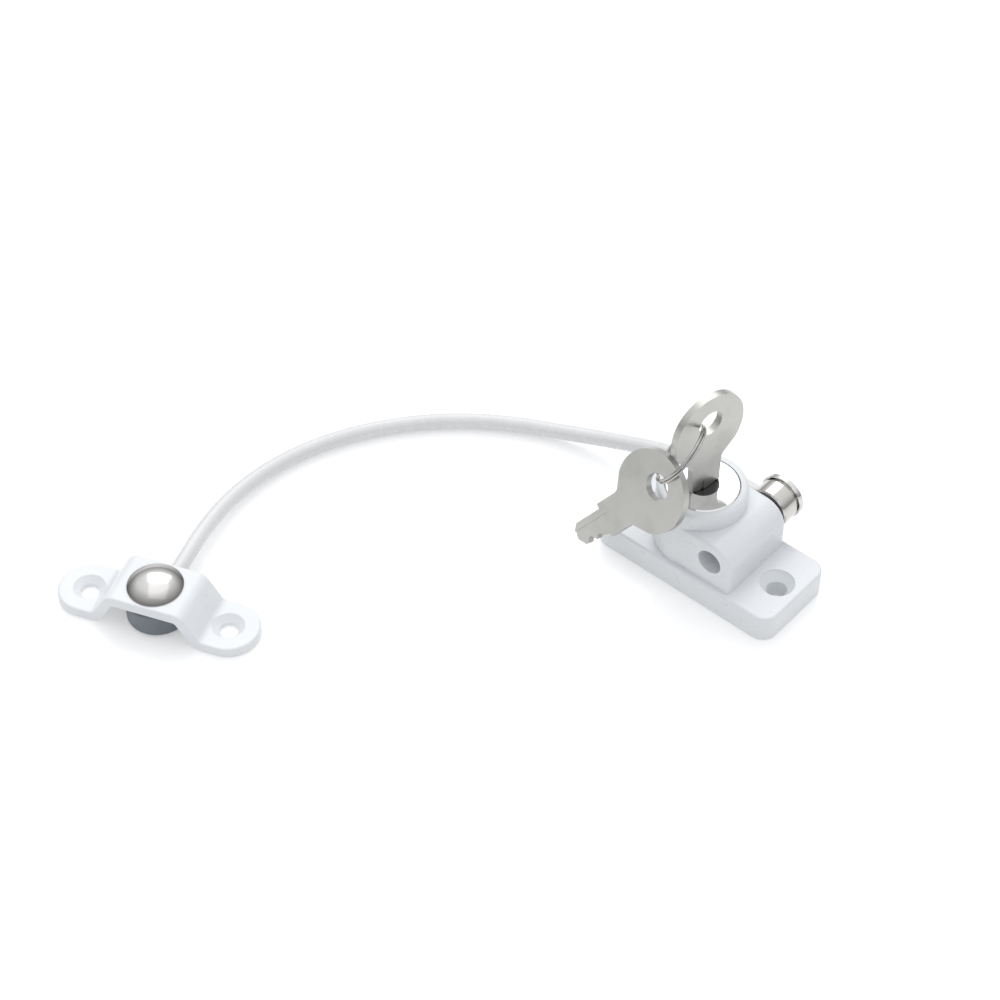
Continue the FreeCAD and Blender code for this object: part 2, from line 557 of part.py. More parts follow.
def key_outline():
    a, b, zc = val("key_bow_a"), val("key_bow_b"), val("key_bow_z")
    s_, bl, rc = val("key_stem"), val("key_blade"), val("key_reach")
    # bow: four arcs through points of an ellipse-like outline that narrows a little towards the stem
    jz = zc - b * 0.88
    top_ = V(0, zc + b, 0)
    left_t, right_t = V(-a * 0.80, zc + b * 0.62, 0), V(a * 0.80, zc + b * 0.62, 0)
    left_m, right_m = V(-a, zc + b * 0.02, 0), V(a, zc + b * 0.02, 0)
    left_b, right_b = V(-a * 0.80, zc - b * 0.55, 0), V(a * 0.80, zc - b * 0.55, 0)
    e = []
    e.append(Part.Arc(left_t, top_, right_t).toShape())
    e.append(Part.Arc(right_t, right_m, right_b).toShape())
    e.append(Part.LineSegment(right_b, V(s_, jz, 0)).toShape())
    e.append(Part.LineSegment(V(s_, jz, 0), V(s_, 0, 0)).toShape())
    pts = [V(s_, 0, 0), V(bl, 0, 0), V(bl, -2.2, 0), V(bl - 0.9, -3.2, 0), V(bl - 0.9, -4.1, 0), V(bl - 0.1, -5.0, 0),
           V(bl - 1.5, -6.5, 0), V(bl - 1.5, -7.3, 0), V(bl - 0.4, -8.5, 0), V(bl - 0.4, -9.2, 0), V(bl - 1.9, -rc + 0.5, 0), V(bl - 2.4, -rc, 0),
           V(-bl + 1.4, -rc, 0), V(-bl, -rc + 1.6, 0), V(-bl, 0, 0), V(-s_, 0, 0)]
    for p0, p1 in zip(pts[:-1], pts[1:]):
        e.append(Part.LineSegment(p0, p1).toShape())
    e.append(Part.LineSegment(V(-s_, 0, 0), V(-s_, jz, 0)).toShape())
    e.append(Part.LineSegment(V(-s_, jz, 0), left_b).toShape())
    e.append(Part.Arc(left_b, left_m, left_t).toShape())
    return Part.Wire(Part.__sortEdges__(e))


def key_solid():
    """Stamped flat key in its own frame: X across, Y through, Z along, shoulder at Z = 0."""
    th = val("key_thk")
    s = Part.Face(key_outline()).extrude(V(0, 0, th))
    s.translate(V(0, 0, -th / 2))
    # soften where the bow meets the stem
    edges = [e for e in s.Edges if abs(e.Vertexes[0].X - e.Vertexes[-1].X) < 1e-6 and abs(e.Vertexes[0].Y - e.Vertexes[-1].Y) < 1e-6
             and near(abs(e.Vertexes[0].X), val("key_stem")) and e.Vertexes[0].Y > 3]
    s = s.makeFillet(2.5, edges)
    corners = [e for e in s.Edges if abs(e.Vertexes[0].X - e.Vertexes[-1].X) < 1e-6 and abs(e.Vertexes[0].Y - e.Vertexes[-1].Y) < 1e-6
               and e.Vertexes[0].Y > 6 and abs(e.Vertexes[0].X) > val("key_bow_a") * 0.7]
    try:
        t = s.makeFillet(3.0, corners)
        if t.isValid():
            s = t
    except Exception:
        pass
    hole = Part.makeCylinder(val("key_hole"), 10, V(0, val("key_hole_z"), -5), V(0, 0, 1))
    s = s.cut(hole)
    # milled guide groove along one side of each face of the blade
    for side in (-1, 1):
        y0 = side * (th / 2) - (0.25 if side > 0 else 0.15)
        g = Part.makeBox(0.9, val("key_reach") + 3.2, 0.4, V(-1.4, -val("key_reach") - 1, y0))
        s = s.cut(g)
    return s


# the outline's Y is stood up as Z
STAND = FreeCAD.Placement(V(0, 0, 0), FreeCAD.Rotation(V(1, 0, 0), 90))
main_key = key_solid()
pl = FreeCAD.Placement(V(val("barrel_x"), 0, val("barrel_top") + 0.12), FreeCAD.Rotation(V(0, 0, 1), val("key_angle")))
f = feature("lock_key", main_key)
f.Placement = pl.multiply(STAND)
PARTS.append(f)
SPARE_U = V(-0.57739, -0.19345, -0.79322)
SPARE_W = V(0.80359, -0.30652, -0.51018)
SPARE_HOLE = V(-6.308, -14.275, 34.018)
up = SPARE_U * -1.0
up.normalize()
wv = SPARE_W - up * SPARE_W.dot(up)
wv.normalize()
nv = up.cross(wv)
m = FreeCAD.Matrix(wv.x, nv.x, up.x, 0, wv.y, nv.y, up.y, 0, wv.z, nv.z, up.z, 0, 0, 0, 0, 1)
rot = FreeCAD.Placement(m).Rotation
base = SPARE_HOLE - rot.multVec(V(0, 0, val("key_hole_z")))
f = feature("spare_key", key_solid())
f.Placement = FreeCAD.Placement(base, rot).multiply(STAND)
PARTS.append(f)

RING_C = V(-5.702, -7.518, 40.464)
RING_N = V(0.74653, 0.32724, -0.57931)
w0, pt0 = val("ring_wire"), val("ring_pitch")
coil = Part.makeTorus(val("ring_rad"), w0, V(0, 0, -pt0 / 2)).fuse(Part.makeTorus(val("ring_rad"), w0, V(0, 0, pt0 / 2)))
bridge = Part.makeCylinder(val("ring_rad") + w0 * 0.62, pt0 * 0.9, V(0, 0, -pt0 * 0.45)).cut(
    Part.makeCylinder(val("ring_rad") - w0 * 0.62, pt0 * 2, V(0, 0, -pt0)))
coil = coil.fuse(bridge)
f = feature("split_key_ring", coil)
f.Placement = FreeCAD.Placement(RING_C, FreeCAD.Rotation(V(0, 0, 1), RING_N))
PARTS.append(f)

# ---------------------------------------------------------------- connector: washer, turned body, end cap
cx, cyy = S["tunnel_x"], S["cable_y"]


def along_y(shape):
    """Turn a solid built on +Z so that its axis lies along +Y through the bore."""
    shape.rotate(V(0, 0, 0), V(1, 0, 0), -90)
    shape.translate(V(val("tunnel_x"), 0, val("bore_z")))
    return shape


ws_out = cyl("WasherOuter", S["washer_out"], S["washer_y1"] - S["washer_y0"])
ws_in = cyl("WasherInner", S["washer_in"], 4.0)
ws_in.Placement.Base = V(0, 0, -1.5)
w = doc.addObject("Part::Cut", "thrust_washer")
w.Label = "thrust_washer"
w.Base, w.Tool = ws_out, ws_in
w.Placement = FreeCAD.Placement(V(0, 0, 0), FreeCAD.Rotation(V(1, 0, 0), -90))
place(w, cx, S["washer_y0"], bz)
PARTS.append(w)

body = new_body("connector_body")
sk = new_sketch(body, "XZ_Plane", "ConnectorSketch")
y0 = S["pin_nose_y"]
gr, gh, prd = S["pin_groove_rad"], S["pin_groove_half"], S["pin_rad"]
hr = S["head_rad"]
sk_poly(sk, [(0, y0), (prd - 1.2, y0), (prd, y0 + 1.4), (prd, -gh), (gr, -gh), (gr, gh), (prd, gh), (prd, S["head_y0"]),
             (hr - 0.35, S["head_y0"]), (hr, S["head_y0"] + 0.35), (hr, S["head_y1"] - 0.25), (hr - 0.25, S["head_y1"]),
             (S["neck_rad"], S["head_y1"]), (S["neck_rad"], S["neck_y1"]), (S["cap_stub_rad"] + 0.02, S["neck_y1"]),
             (S["cap_stub_rad"] + 0.02, S["neck_y1"] - S["cap_stub"] - 0.1), (0, S["neck_y1"] - S["cap_stub"] - 0.1)])
revolve(body, sk, "ConnectorTurned")
# radial socket for the cable, then a narrower one for the ferrule
sk = new_sketch(body, "YZ_Plane", "ConnectorSocketSketch")
sk_circle(sk, 0, cyy, S["cable_dia"] / 2 + S["socket_gap"])
f = pocket(body, sk, 7.0, "ConnectorSocket")
sk2 = new_sketch(body, "YZ_Plane", "ConnectorFerruleSketch")
PARTS.append(body)
body.removeObject(sk2)
doc.removeObject(sk2.Name)
doc.recompute()
conn_body = body
body.Placement = FreeCAD.Placement(V(0, 0, 0), FreeCAD.Rotation(V(1, 0, 0), -90))
place(body, cx, 0, bz)
doc.recompute()

r1, st = val("cap_rad"), val("cap_stub_rad")
pts = [V(0, 0, -val("cap_stub")), V(st, 0, -val("cap_stub")), V(st, 0, 0), V(r1 - 0.2, 0, 0), V(r1, 0, 0.2)]
hcap = val("cap_y1") - val("neck_y1")
pts += [V(r1, 0, hcap - 0.35), V(r1 - 0.4, 0, hcap), V(1.5, 0, hcap), V(0, 0, hcap - 0.25), V(0, 0, -val("cap_stub"))]
cap = Part.Face(Part.makePolygon(pts)).revolve(V(0, 0, 0), V(0, 0, 1), 360)
cap.translate(V(0, 0, val("neck_y1")))
PARTS.append(feature("connector_end_cap", along_y(cap)))

# ---------------------------------------------------------------- cable route
# corner points of the cable's centre line, lock end first; mid-span it lies on the floor
ROUTE = [
    (5.0, 14.8, 14.76), (-9.5, 14.8, 14.76), (-24.5, 15.1, 11.2), (-40.0, 13.6, 6.0), (-54.5, 9.9, 2.5),
    (-68.5, 3.2, 2.05), (-81.8, -7.0, 2.05), (-92.6, -19.8, 2.05), (-100.4, -34.6, 2.05), (-104.1, -50.4, 2.25),
    (-103.3, -65.8, 3.1), (-99.2, -78.9, 4.3), (-94.953, -90.015, 4.3), (-92.05, -97.94, 4.3),
]
EYE_DIR = V(-0.3338, 0.9426, 0)
EYE_DIR.normalize()
eye_c = V(val("br_x"), val("br_y"), 0)
ROUTE[-1] = tuple(eye_c + EYE_DIR * 3.6 + V(0, 0, val("eye_z")))
ROUTE[-2] = tuple(eye_c + EYE_DIR * 13.2 + V(0, 0, val("eye_z")))


def route_path(points):
    P = [V(*p) for p in points]
    edges, radii = [], []
    start = P[0]
    for i in range(1, len(P) - 1):
        a, b = P[i] - P[i - 1], P[i + 1] - P[i]
        la, lb = a.Length, b.Length
        ta, tb = V(a).normalize(), V(b).normalize()
        turn = ta.getAngle(tb)
        cut = 0.45 * min(la, lb)
        radius = cut / math.tan(turn / 2)
        radii.append(radius)
        p0, p1 = P[i] - ta * cut, P[i] + tb * cut
        n_ = (tb - ta).normalize()
        c_ = P[i] + n_ * (radius / math.cos(turn / 2))
        m_ = c_ - n_ * radius
        if (p0 - start).Length > 1e-6:
            edges.append(Part.LineSegment(start, p0).toShape())
        edges.append(Part.Arc(p0, m_, p1).toShape())
        start = p1
    edges.append(Part.LineSegment(start, P[-1]).toShape())
    return Part.Wire(edges), radii


path, radii = route_path(ROUTE)
print("cable arc radii", [round(r, 1) for r in radii])
print("cable runs", [round((V(*a) - V(*b)).Length, 1) for a, b in zip(ROUTE[:-1], ROUTE[1:])])
rc_ = val("cable_dia") / 2
d0 = (V(*ROUTE[1]) - V(*ROUTE[0])).normalize()
section = Part.Wire(Part.makeCircle(rc_, V(*ROUTE[0]), d0))
tube = path.makePipeShell([section], True, False)
print("cable length", round(path.Length, 2), "volume", round(tube.Volume, 2), "section x length", round(math.pi * rc_ ** 2 * path.Length, 2))
PARTS.append(feature("cable", tube))

# crimped ferrule on the bare core at the lock end, inside the connector
fd = val("ferrule_dia") / 2
x0 = ROUTE[0][0]
fer = Part.makeCylinder(fd, 2.5, V(x0 + 0.02, val("cable_y"), val("bore_z")), V(1, 0, 0))
fer = fer.cut(Part.makeCylinder(val("core_dia") / 2 + 0.01, 6, V(x0 - 1, val("cable_y"), val("bore_z")), V(1, 0, 0)))
PARTS.append(feature("lock_end_ferrule", fer))
core = Part.makeCylinder(val("core_dia") / 2, 2.45, V(x0 + 0.02, val("cable_y"), val("bore_z")), V(1, 0, 0))
PARTS.append(feature("lock_end_wire_core", core))

# ---------------------------------------------------------------- swivel eye under the bracket
body = new_body("swivel_eye")
sk = new_sketch(body, "XY_Plane", "EyeSketch", offset=S["eye_low"])
sk_circle(sk, 0, 0, S["eye_rad"])
pad(body, sk, S["eye_high"] - S["eye_low"], "EyeDisc")
dress(body, "Fillet", 0.8, lambda e: near(mid(e).z, S["eye_low"].v) or near(mid(e).z, S["eye_high"].v), "EyeEdges")
sk = new_sketch(body, "XY_Plane", "EyeBoreSketch", offset=S["eye_low"] - 0.5)
sk_circle(sk, 0, 0, S["eye_bore"])
pocket(body, sk, 12.0, "EyeBore", reverse=True)
sk = new_sketch(body, "XY_Plane", "EyeCounterSketch", offset=S["eye_low"] - 0.5)
sk_circle(sk, 0, 0, S["eye_cbore"])
pocket(body, sk, S["eye_cbore_top"] - S["eye_low"] + 0.5, "EyeCounterbore", reverse=True)
sk = new_sketch(body, "YZ_Plane", "EyeSocketSketch")
sk_circle(sk, 0, S["eye_z"], S["cable_dia"] / 2 + S["socket_gap"])
f = pocket(body, sk, 9.0, "EyeSocket")
# the socket opens on the local +X side only
if not f.Shape.isInside(V(-6.0, 0, val("eye_z")), 1e-3, True):
    f.Reversed = not f.Reversed
    doc.recompute()
eye_yaw = math.degrees(math.atan2(EYE_DIR.y, EYE_DIR.x))
body.Placement = FreeCAD.Placement(V(0, 0, 0), FreeCAD.Rotation(V(0, 0, 1), eye_yaw))
place(body, S["br_x"], S["br_y"], 0)
PARTS.append(body)
doc.recompute()

# ---------------------------------------------------------------- bracket: strap, rivet, washers, dome cap
def rounded(points, rads):
    """Closed profile with each corner rounded by its own radius."""
    n = len(points)
    e, ends = [], []
    for i in range(n):
        a, b, c = points[i - 1], points[i], points[(i + 1) % n]
        r = rads[i]
        if r <= 0:
            ends.append((b, None, b))
            continue
        ta, tb = (b - a).normalize(), (c - b).normalize()
        turn = ta.getAngle(tb)
        cut = r * math.tan(turn / 2)
        n_ = (tb - ta).normalize()
        c_ = b + n_ * (r / math.cos(turn / 2))
        ends.append((b - ta * cut, c_ - n_ * r, b + tb * cut))
    for i in range(n):
        s_, m_, f_ = ends[i]
        if m_ is not None:
            e.append(Part.Arc(s_, m_, f_).toShape())
        nx = ends[(i + 1) % n][0]
        if (nx - f_).Length > 1e-6:
            e.append(Part.LineSegment(f_, nx).toShape())
    return Part.Wire(e)


tb_, tp_, ih, sl = val("br_thk"), val("br_top"), val("br_inner_half"), math.radians(val("br_slope"))
drop = tp_ - tb_
run = drop / math.tan(sl)
ot = ih + tb_ * math.tan(sl / 2)
hlb = val("br_half_len")
prof = [V(-hlb, 0, 0), V(-ih - run, 0, 0), V(-ih, 0, drop), V(ih, 0, drop), V(ih + run, 0, 0), V(hlb, 0, 0),
        V(hlb, 0, tb_), V(ot + run, 0, tb_), V(ot, 0, tp_), V(-ot, 0, tp_), V(-ot - run, 0, tb_), V(-hlb, 0, tb_)]
rad = [0, 4.0, 1.2, 1.2, 4.0, 0, 0.0, 2.0, 3.7, 3.7, 2.0, 0.0]
strip = Part.Face(rounded(prof, rad)).extrude(V(0, 24, 0))
strip.translate(V(0, -12, 0))
hwb = val("br_half_wid")
# plan outline: straight sides, ends fully rounded
outline = Part.makeBox(2 * (hlb - hwb), 2 * hwb, 20, V(-(hlb - hwb), -hwb, -2))
for sx in (-1, 1):
    outline = outline.fuse(Part.makeCylinder(hwb, 20, V(sx * (hlb - hwb), 0, -2)))
strap = strip.common(outline.removeSplitter())
edges = [e for e in strap.Edges if abs(mid(e).y) > 1.0 and mid(e).z > 1.0 and
         ((near(mid(e).z, tb_, 0.01) and abs(mid(e).x) > ot + run) or near(mid(e).z, tp_, 0.01)) and
         abs(mid(e).y) > hwb * 0.4]
for edge_rad in (0.7, 0.5, 0.35):
    try:
        t = strap.makeFillet(edge_rad, edges)
    except Exception as ex:
        print("strap edge radius not possible", edge_rad, ex)
        continue
    if t.isValid() and t.Volume > 0:
        strap = t
        print("strap edge radius", edge_rad)
        break
for sx in (-1, 1):
    hx = sx * val("br_hole_half")
    strap = strap.cut(Part.makeCylinder(val("br_hole"), 10, V(hx, 0, -3)))
    dpt = val("br_csk") - val("br_hole")
    strap = strap.cut(Part.makeCone(val("br_hole"), val("br_csk") + 0.5, (dpt + 0.5) * 0.92, V(hx, 0, tb_ - dpt * 0.92)))
strap = strap.cut(Part.makeCylinder(val("br_rivet_hole") + 0.02, 10, V(0, 0, 5)))
BR = FreeCAD.Placement(V(val("br_x"), val("br_y"), 0), FreeCAD.Rotation(V(0, 0, 1), val("br_angle")))
f = feature("bracket_strap", strap.removeSplitter())
f.Placement = BR
PARTS.append(f)

rr, hr_, hh = val("rivet_rad"), val("rivet_head_rad"), val("rivet_head")
t0, t1, trd = val("tail_low"), val("tail_high"), val("tail_rad")
pts = [V(0, 0, t0 + 0.3), V(trd - 1.4, 0, t0), V(trd - 0.3, 0, t0), V(trd, 0, t0 + 0.3), V(trd, 0, t1), V(rr, 0, t1), V(rr, 0, tp_),
       V(hr_, 0, tp_), V(hr_, 0, tp_ + hh - 0.3), V(hr_ - 0.5, 0, tp_ + hh), V(0, 0, tp_ + hh), V(0, 0, t0 + 0.3)]
f = feature("swivel_rivet", Part.Face(Part.makePolygon(pts)).revolve(V(0, 0, 0), V(0, 0, 1), 360))
f.Placement = BR
PARTS.append(f)

# polished dome pressed over the rivet's head
dr, dh, dw = val("dome_rad"), val("dome_height"), val("dome_wall")
sr = (dr ** 2 + dh ** 2) / (2 * dh)
arc_out = Part.Arc(V(dr, 0, tp_ + 0.25), V(dr * 0.5, 0, tp_ + 0.25 - (sr - dh) + math.sqrt(sr ** 2 - (dr * 0.5) ** 2)), V(0, 0, tp_ + 0.25 + dh))
e = [arc_out.toShape()]
e += [Part.LineSegment(V(0, 0, tp_ + 0.25 + dh), V(0, 0, tp_ + hh + 0.1)).toShape(),
      Part.LineSegment(V(0, 0, tp_ + hh + 0.1), V(hr_ + 0.06, 0, tp_ + hh + 0.1)).toShape(),
      Part.LineSegment(V(hr_ + 0.06, 0, tp_ + hh + 0.1), V(hr_ + 0.06, 0, tp_ + 0.02)).toShape(),
      Part.LineSegment(V(hr_ + 0.06, 0, tp_ + 0.02), V(dr - 0.15, 0, tp_ + 0.02)).toShape(),
      Part.LineSegment(V(dr - 0.15, 0, tp_ + 0.02), V(dr, 0, tp_ + 0.25)).toShape()]
f = feature("rivet_dome_cap", Part.Face(Part.Wire(Part.__sortEdges__(e))).revolve(V(0, 0, 0), V(0, 0, 1), 360))
f.Placement = BR
PARTS.append(f)


def ring_washer(name, r_in, r_out, z0, z1):
    s = Part.makeCylinder(r_out, z1 - z0, V(0, 0, z0)).cut(Part.makeCylinder(r_in, 4, V(0, 0, z0 - 1)))
    f = feature(name, s)
    f.Placement = BR
    PARTS.append(f)


ring_washer("upper_swivel_washer", rr + 0.05, 6.6, val("eye_high") + 0.08, drop - 0.02)
ring_washer("lower_swivel_washer", rr + 0.05, 4.8, t1 + 0.02, val("eye_cbore_top") - 0.06)

# crimped ferrule and bare core inside the eye are one short stub between the jacket's end and the rivet
doc.recompute()

# ---------------------------------------------------------------- check everything, then write
bad = []
for o in doc.Objects:
    if "Invalid" in o.State or "Error" in o.State:
        bad.append((o.Name, o.State))
for p in PARTS:
    s = p.Shape
    if s.isNull() or not s.isValid() or s.Volume <= 0 or not s.Solids:
        bad.append((p.Label, "bad shape"))
if bad:
    raise RuntimeError("failed objects: %s" % bad)
os.makedirs("parts", exist_ok=True)
for old in os.listdir("parts"):
    if old.endswith(".step"):
        os.remove(os.path.join("parts", old))
for p in PARTS:
    p.Shape.exportStep("parts/%s.step" % p.Label)
    bb = p.Shape.BoundBox
    print("%-22s solids %d vol %9.2f  x %.2f..%.2f y %.2f..%.2f z %.2f..%.2f" % (
        p.Label, len(p.Shape.Solids), p.Shape.Volume, bb.XMin, bb.XMax, bb.YMin, bb.YMax, bb.ZMin, bb.ZMax))
print(len(PARTS), "nodes")
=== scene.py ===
import bpy
import bmesh
import math
from mathutils import Matrix, Vector


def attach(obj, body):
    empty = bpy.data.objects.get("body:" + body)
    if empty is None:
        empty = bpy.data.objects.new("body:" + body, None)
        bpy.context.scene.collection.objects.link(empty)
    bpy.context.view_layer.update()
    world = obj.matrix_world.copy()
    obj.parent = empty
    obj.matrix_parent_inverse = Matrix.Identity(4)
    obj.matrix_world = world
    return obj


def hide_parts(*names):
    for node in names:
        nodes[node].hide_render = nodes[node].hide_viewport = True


# Window restrictor cable: lock block, key, spare key, coated cable and swivel bracket.
# Metres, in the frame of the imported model.
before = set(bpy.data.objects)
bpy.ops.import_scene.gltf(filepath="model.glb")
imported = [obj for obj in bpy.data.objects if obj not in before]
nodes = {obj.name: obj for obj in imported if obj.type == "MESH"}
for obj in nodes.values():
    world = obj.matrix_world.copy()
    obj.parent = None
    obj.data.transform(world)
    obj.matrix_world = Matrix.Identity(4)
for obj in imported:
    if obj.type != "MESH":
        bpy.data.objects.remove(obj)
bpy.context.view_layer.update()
scene = bpy.context.scene

# ---------------------------------------------------------------- camera
cam_data = bpy.data.cameras.new("camera")
cam_data.lens = 86.6
cam_data.sensor_width = 36.0
cam_data.clip_start, cam_data.clip_end = 0.01, 20.0
cam = bpy.data.objects.new("camera", cam_data)
scene.collection.objects.link(cam)
cam.location = Vector((0.2252, -0.3374, 0.4440))
look_at = Vector((-0.0532, -0.0180, 0.0))
cam.rotation_mode = "QUATERNION"
cam.rotation_quaternion = (look_at - cam.location).to_track_quat("-Z", "Y")
scene.camera = cam
scene.view_settings.view_transform = "Standard"

# ---------------------------------------------------------------- node helpers


class Finish:
    """A procedural material: a principled shader with node-driven colour, roughness and bump."""

    def __init__(self, name, metallic=0.0, specular=0.5, coat=0.0, coat_roughness=0.05, ior=1.5,
                 anisotropic=0.0, sheen=0.0):
        self.m = bpy.data.materials.new(name)
        self.m.use_nodes = True
        self.t = self.m.node_tree
        self.t.nodes.clear()
        self.out = self.add("ShaderNodeOutputMaterial")
        self.b = self.add("ShaderNodeBsdfPrincipled")
        self.t.links.new(self.b.outputs[0], self.out.inputs[0])
        self.b.inputs["Metallic"].default_value = metallic
        self.b.inputs["Specular IOR Level"].default_value = specular
        self.b.inputs["Coat Weight"].default_value = coat
        self.b.inputs["Coat Roughness"].default_value = coat_roughness
        self.b.inputs["IOR"].default_value = ior
        self.b.inputs["Anisotropic"].default_value = anisotropic
        self.b.inputs["Sheen Weight"].default_value = sheen
        self.obj = self.add("ShaderNodeTexCoord").outputs["Object"]

    def add(self, kind, **kw):
        n = self.t.nodes.new(kind)
        for k, v in kw.items():
            setattr(n, k, v)
        return n

    def link(self, a, b):
        self.t.links.new(a, b)

    def noise(self, scale, detail=3.0, rough=0.55, vec=None, distortion=0.0):
        n = self.add("ShaderNodeTexNoise")
        n.inputs["Scale"].default_value = scale
        n.inputs["Detail"].default_value = detail
        n.inputs["Roughness"].default_value = rough
        n.inputs["Distortion"].default_value = distortion
        self.link(vec or self.obj, n.inputs["Vector"])
        return n.outputs["Fac"]

    def spread(self, fac, lo, hi, a=0.3, b=0.7):
        n = self.add("ShaderNodeMapRange")
        n.inputs["From Min"].default_value = a
        n.inputs["From Max"].default_value = b
        n.inputs["To Min"].default_value = lo
        n.inputs["To Max"].default_value = hi
        self.link(fac, n.inputs["Value"])
        return n.outputs["Result"]

    def ramp(self, fac, *stops):
        n = self.add("ShaderNodeValToRGB")
        e = n.color_ramp.elements
        while len(e) < len(stops):
            e.new(0.5)
        for el, (p, c) in zip(e, stops):
            el.position = p
            el.color = (c[0], c[1], c[2], 1.0)
        self.link(fac, n.inputs["Fac"])
        return n.outputs["Color"]

    def math(self, op, a, b=None):
        n = self.add("ShaderNodeMath", operation=op)
        for i, s in enumerate((a, b)):
            if s is None:
                continue
            if isinstance(s, (int, float)):
                n.inputs[i].default_value = s
            else:
                self.link(s, n.inputs[i])
        return n.outputs[0]

    def axes(self, origin, ax, ay, az):
        """Coordinates along three axes of the piece's own, measured from a point on it."""
        sub = self.add("ShaderNodeVectorMath", operation="SUBTRACT")
        self.link(self.obj, sub.inputs[0])
        sub.inputs[1].default_value = origin
        parts = []
        for a in (ax, ay, az):
            d = self.add("ShaderNodeVectorMath", operation="DOT_PRODUCT")
            self.link(sub.outputs[0], d.inputs[0])
            d.inputs[1].default_value = a
            parts.append(d.outputs["Value"])
        return parts

    def vec(self, x, y, z):
        n = self.add("ShaderNodeCombineXYZ")
        for i, s in enumerate((x, y, z)):
            if isinstance(s, (int, float)):
                n.inputs[i].default_value = s
            else:
                self.link(s, n.inputs[i])
        return n.outputs[0]

    def turned(self, origin, axis, along=9000.0, across=9000.0, round_=8.0):
        """Fine lathe lines: they run round the axis, on the faces and along the barrel alike."""
        az = Vector(axis).normalized()
        ax = az.orthogonal().normalized()
        ay = az.cross(ax)
        x, y, z = self.axes(origin, ax, ay, az)
        r = self.math("SQRT", self.math("ADD", self.math("MULTIPLY", x, x), self.math("MULTIPLY", y, y)))
        ang = self.math("ARCTAN2", y, x)
        return self.vec(self.math("MULTIPLY", r, across), self.math("MULTIPLY", z, along), self.math("MULTIPLY", ang, round_)), r, z

    def brushed(self, origin, ax, ay, az, fine=9000.0, coarse=250.0):
        """Fine lines along az on a flat piece."""
        x, y, z = self.axes(origin, ax, ay, az)
        return self.vec(self.math("MULTIPLY", x, fine), self.math("MULTIPLY", y, fine), self.math("MULTIPLY", z, coarse))

    def colour(self, sock):
        self.link(sock, self.b.inputs["Base Color"])

    def rough(self, sock):
        self.link(sock, self.b.inputs["Roughness"])

    def bump(self, height, distance, strength=1.0, after=None):
        n = self.add("ShaderNodeBump")
        n.inputs["Strength"].default_value = strength
        n.inputs["Distance"].default_value = distance
        self.link(height, n.inputs["Height"])
        if after is not None:
            self.link(after, n.inputs["Normal"])
        self.link(n.outputs[0], self.b.inputs["Normal"])
        return n.outputs[0]


def shade(c, k):
    return tuple(min(1.0, v * k) for v in c)


def painted(name, c, rough=(0.26, 0.36), peel=1.6e-6, scale=1500.0, coat=0.15):
    f = Finish(name, specular=0.45, coat=coat, coat_roughness=0.12)
    f.colour(f.ramp(f.noise(60.0, 4.0), (0.30, shade(c, 0.985)), (0.55, c), (0.75, shade(c, 1.01))))
    f.rough(f.spread(f.noise(420.0, 3.0), rough[0], rough[1]))
    n = f.bump(f.noise(scale, 1.0, 0.4), peel * 0.4)
    f.bump(f.noise(140.0, 0.0, 0.4), peel * 1.0, after=n)
    return f.m


def turned_metal(name, c, origin, axis, rough=(0.12, 0.22), line=1.2e-6, metallic=1.0, dark=0.86, fine=9000.0):
    f = Finish(name, metallic=metallic)
    v, r, z = f.turned(origin, axis, fine, fine)
    lines = f.noise(1.0, 2.0, 0.6, v)
    f.colour(f.ramp(f.noise(160.0, 4.0), (0.3, shade(c, dark)), (0.5, c), (0.72, shade(c, 1.03))))
    f.rough(f.spread(lines, rough[0], rough[1]))
    f.bump(lines, line)
    return f.m


def brushed_metal(name, c, origin, ax, ay, az, rough=(0.26, 0.4), line=2.0e-6, fine=7000.0, coarse=300.0, metallic=1.0):
    f = Finish(name, metallic=metallic)
    v = f.brushed(origin, ax, ay, az, fine, coarse)
    lines = f.noise(1.0, 3.0, 0.6, v)
    stain = f.noise(130.0, 4.0)
    f.colour(f.ramp(stain, (0.3, shade(c, 0.9)), (0.52, c), (0.75, shade(c, 1.04))))
    mixed = f.math("ADD", f.math("MULTIPLY", lines, 0.6), f.math("MULTIPLY", f.noise(500.0, 3.0), 0.4))
    f.rough(f.spread(mixed, rough[0], rough[1]))
    n = f.bump(lines, line)
    f.bump(f.noise(900.0, 3.0), line * 1.5, after=n)
    return f.m


def grained(name, c, rough=(0.4, 0.55), scale=2600.0, depth=6e-6, metallic=0.0, specular=0.5, spots=0.85):
    f = Finish(name, metallic=metallic, specular=specular)
    f.colour(f.ramp(f.noise(260.0, 5.0, 0.6), (0.3, shade(c, spots)), (0.52, c), (0.75, shade(c, 1.08))))
    f.rough(f.spread(f.noise(700.0, 3.0), rough[0], rough[1]))
    n = f.bump(f.noise(scale, 4.0, 0.6), depth)
    f.bump(f.noise(300.0, 3.0), depth * 2.0, after=n)
    return f.m


def assign(node, mat):
    o = nodes[node] if isinstance(node, str) else node
    o.data.materials.clear()
    o.data.materials.append(mat)
    for p in getattr(o.data, "polygons", []):
        p.material_index = 0


